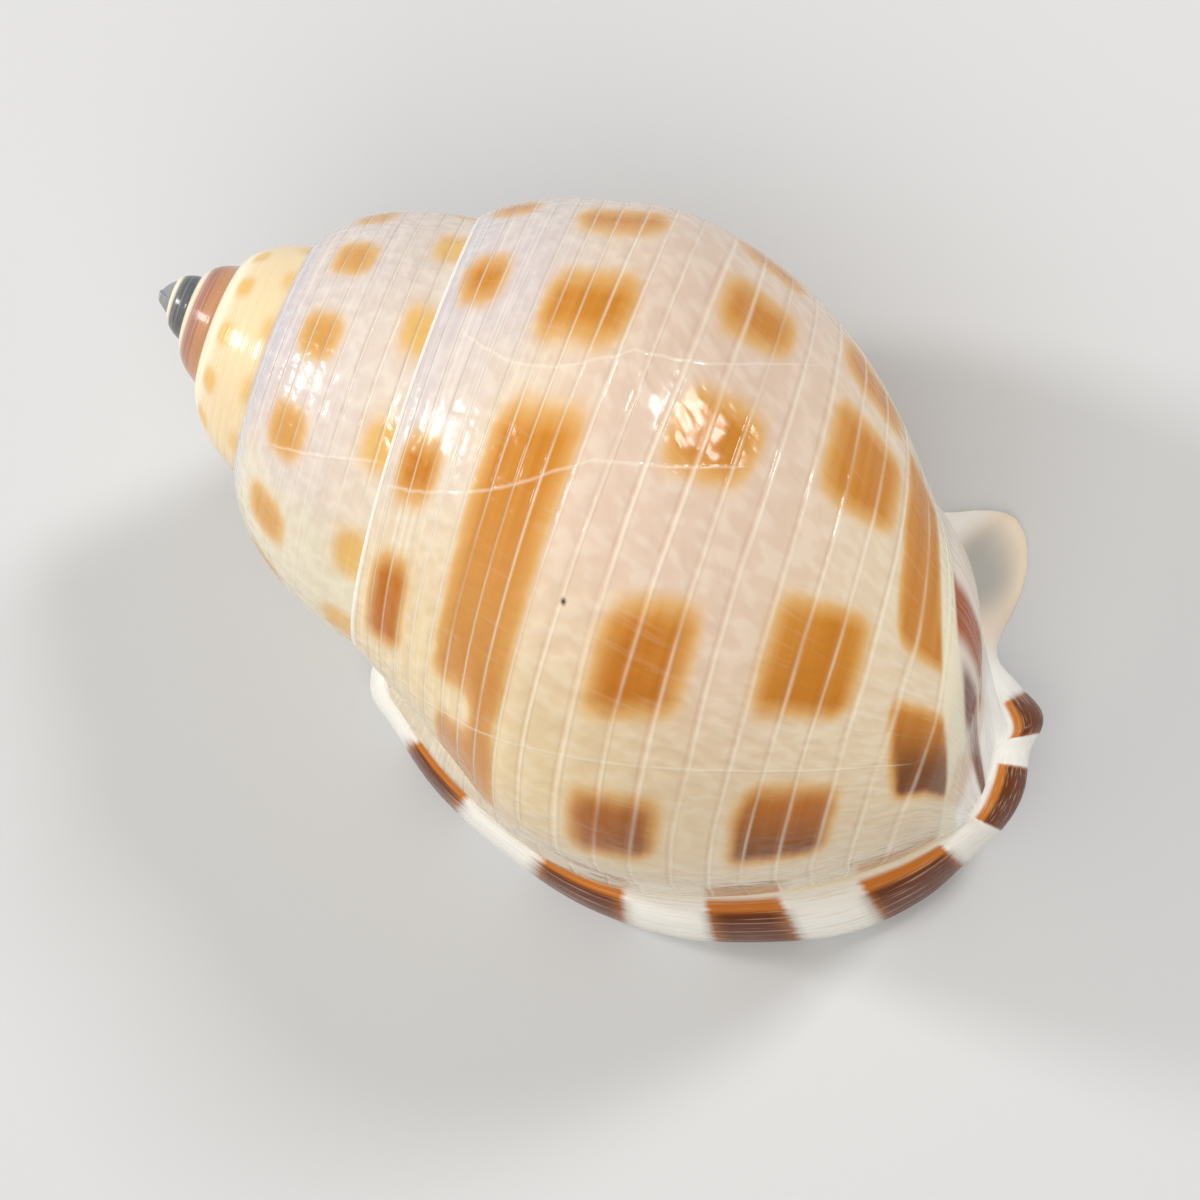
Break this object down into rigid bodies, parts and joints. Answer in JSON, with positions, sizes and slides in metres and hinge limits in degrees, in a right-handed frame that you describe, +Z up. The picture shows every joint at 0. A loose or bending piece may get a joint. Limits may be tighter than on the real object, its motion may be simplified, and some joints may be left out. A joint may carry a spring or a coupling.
{
  "type": "seashell",
  "caption": "Banded bonnet shell lying on its opening: a coiled spire, a swollen last whorl, a rolled outer lip and a spreading inner shield.",
  "frame": {"origin": "centre of the bounding box in plan, at the table on which the shell rests", "axes": "+X runs from the tip of the spire to the canal end, along the coiling axis in plan; +Y is the side of the inner shield and -Y that of the outer lip; +Z is up, with the opening facing down"},
  "size_m": [0.0584, 0.0402, 0.0334],
  "materials": {
    "shell": "glossy natural shell, cream with square ochre blotches in spiral rows, brown bars on a white outer lip and a slate-grey tip"
  },
  "bodies": {
    "root": {"shell": "shell"}
  },
  "joints": []
}
